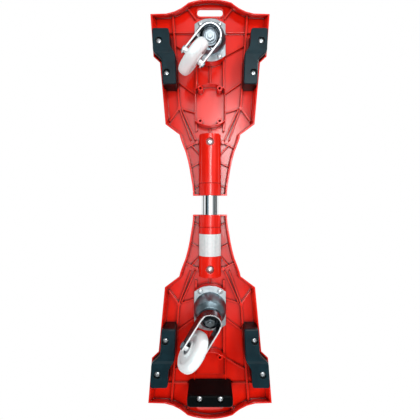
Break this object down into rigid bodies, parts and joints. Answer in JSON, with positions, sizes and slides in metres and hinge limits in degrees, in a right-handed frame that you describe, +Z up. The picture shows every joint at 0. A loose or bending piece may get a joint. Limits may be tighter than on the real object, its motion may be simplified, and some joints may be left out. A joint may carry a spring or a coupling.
{
  "type": "caster board",
  "caption": "Two moulded decks joined by a sprung torsion tube, each rolling on one inclined swivelling caster wheel.",
  "frame": {"origin": "centre of the footprint, on the floor under the wheels", "axes": "+Z up, nose towards -Y, tail towards +Y, +X to the rider's side"},
  "size_m": [0.2492, 0.8804, 0.118],
  "materials": {
    "red_moulded_plastic": "injection moulded, satin gloss",
    "black_rubber": "moulded, matt",
    "black_nylon": "moulded nylon, fine texture",
    "zinc_steel": "bright zinc plated steel",
    "grey_steel": "dark plated steel",
    "chromed_tube": "polished tube",
    "white_urethane": "cast urethane, satin",
    "printed_vinyl": "printed vinyl film",
    "dark_printed_vinyl": "printed vinyl film",
    "white_label": "bare paper label"
  },
  "bodies": {
    "rear_board": {"rear_deck": "red_moulded_plastic", "rear_oval_sticker": "printed_vinyl", "rear_clamp_bolt": "zinc_steel", "rear_neck_sticker_a": "dark_printed_vinyl", "rear_bumper_a": "black_rubber", "rear_bumper_screw_a_inner": "zinc_steel", "rear_bumper_screw_a_outer": "zinc_steel", "rear_neck_sticker_b": "dark_printed_vinyl", "rear_bumper_b": "black_rubber", "rear_bumper_screw_b_inner": "zinc_steel", "rear_bumper_screw_b_outer": "zinc_steel", "rear_caster_plate": "zinc_steel", "rear_caster_screw_1": "zinc_steel", "rear_caster_screw_2": "zinc_steel", "rear_caster_screw_3": "zinc_steel", "rear_caster_screw_4": "zinc_steel", "rear_swivel_head": "grey_steel", "rear_swivel_bearing": "grey_steel", "rear_kingpin": "zinc_steel", "rear_kingpin_nut": "zinc_steel", "rear_housing_label": "white_label", "tail_block": "black_nylon", "tail_block_screw_a": "zinc_steel", "tail_block_screw_b": "zinc_steel", "torsion_tube": "chromed_tube", "torsion_bar": "grey_steel", "rear_tube_sleeve": "black_nylon"},
    "front_board": {"front_deck": "red_moulded_plastic", "front_oval_sticker": "printed_vinyl", "front_clamp_bolt": "zinc_steel", "front_neck_sticker_a": "dark_printed_vinyl", "front_bumper_a": "black_rubber", "front_bumper_screw_a_inner": "zinc_steel", "front_bumper_screw_a_outer": "zinc_steel", "front_neck_sticker_b": "dark_printed_vinyl", "front_bumper_b": "black_rubber", "front_bumper_screw_b_inner": "zinc_steel", "front_bumper_screw_b_outer": "zinc_steel", "front_caster_plate": "zinc_steel", "front_caster_screw_1": "zinc_steel", "front_caster_screw_2": "zinc_steel", "front_caster_screw_3": "zinc_steel", "front_caster_screw_4": "zinc_steel", "front_swivel_head": "grey_steel", "front_swivel_bearing": "grey_steel", "front_kingpin": "zinc_steel", "front_kingpin_nut": "zinc_steel", "front_tube_bush": "black_nylon"},
    "rear_swivel_fork": {"rear_fork": "zinc_steel", "rear_axle_bolt": "zinc_steel", "rear_axle_nut": "zinc_steel"},
    "front_swivel_fork": {"front_fork": "zinc_steel", "front_axle_bolt": "zinc_steel", "front_axle_nut": "zinc_steel"},
    "rear_wheel_set": {"rear_wheel": "white_urethane", "rear_wheel_bearing_left": "grey_steel", "rear_wheel_bearing_right": "grey_steel"},
    "front_wheel_set": {"front_wheel": "white_urethane", "front_wheel_bearing_left": "grey_steel", "front_wheel_bearing_right": "grey_steel"}
  },
  "joints": [
    {"name": "deck_twist", "type": "hinge", "parent": "rear_board", "child": "front_board", "pos_m": [0, 0, 0.0942], "axis": [0, 1, 0], "range_deg": [-35, 35], "stiffness_Nm_per_rad": 25},
    {"name": "front_caster_swivel", "type": "hinge", "parent": "front_board", "child": "front_swivel_fork", "pos_m": [0, -0.3425, 0.0879], "axis": [0, -0.342, 0.9397], "continuous": true},
    {"name": "rear_caster_swivel", "type": "hinge", "parent": "rear_board", "child": "rear_swivel_fork", "pos_m": [0, 0.2085, 0.0879], "axis": [0, -0.342, 0.9397], "continuous": true},
    {"name": "front_wheel_spin", "type": "hinge", "parent": "front_swivel_fork", "child": "front_wheel_set", "pos_m": [-0.03171, -0.28111, 0.03788], "axis": [0.788, 0.5785, 0.2106], "continuous": true},
    {"name": "rear_wheel_spin", "type": "hinge", "parent": "rear_swivel_fork", "child": "rear_wheel_set", "pos_m": [-0.03171, 0.26989, 0.03788], "axis": [0.788, 0.5785, 0.2106], "continuous": true}
  ]
}
